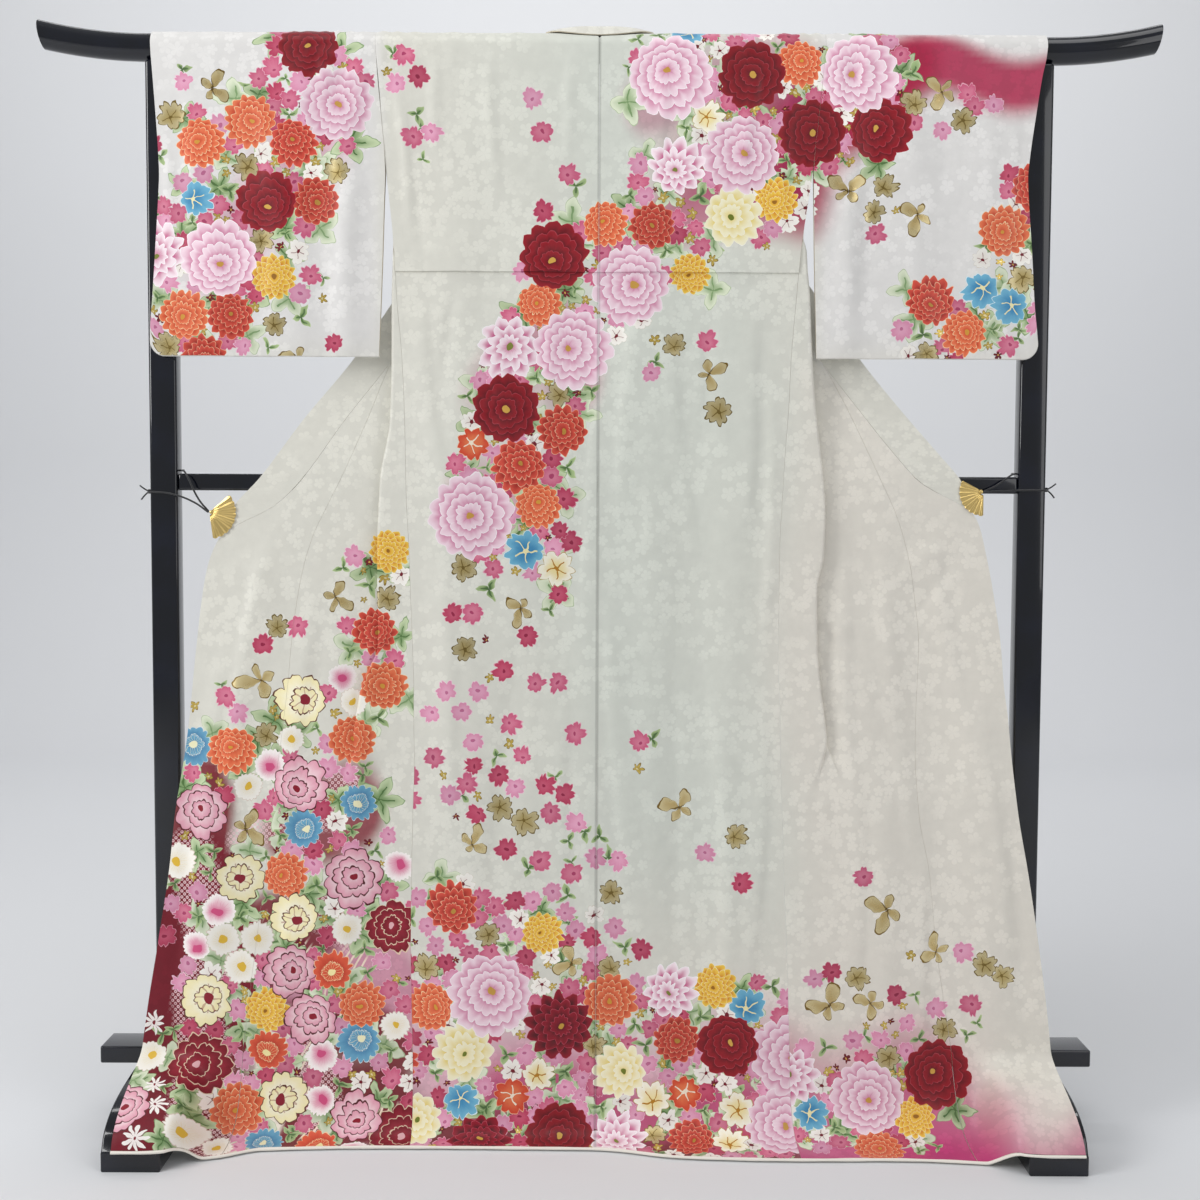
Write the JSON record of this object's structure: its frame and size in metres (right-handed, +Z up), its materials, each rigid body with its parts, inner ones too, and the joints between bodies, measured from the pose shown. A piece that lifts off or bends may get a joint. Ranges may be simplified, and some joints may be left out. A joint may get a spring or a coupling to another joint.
{
  "type": "houmongi kimono spread on a lacquered kimono stand",
  "caption": "Full-length silk kimono spread back outwards over a black lacquered stand, fronts drawn out by fan clips, hem trailing.",
  "frame": {"origin": "on the floor, in the middle of the whole outline", "axes": "+X to the viewer's right across the back, +Y away from the viewer towards the garment's fronts, +Z up"},
  "size_m": [1.648, 0.3999, 1.642],
  "materials": {
    "lacquer": "high gloss black lacquer",
    "silk": "figured silk satin, printed with flowers",
    "lining": "soft plain silk",
    "brass": "bright, slightly worn",
    "cord": "twisted black cord"
  },
  "bodies": {
    "root": {"top_bar": "lacquer", "post_left": "lacquer", "post_right": "lacquer", "cross_rail": "lacquer", "base_board": "lacquer", "foot_left": "lacquer", "foot_right": "lacquer", "body_left": "silk", "body_right": "silk", "overlap_left": "silk", "overlap_right": "silk", "sleeve_left": "silk", "sleeve_right": "silk", "collar": "silk", "hem_roll": "lining", "clip_left": "brass", "clip_right": "brass", "tie_left": "cord", "tie_right": "cord"}
  },
  "joints": []
}
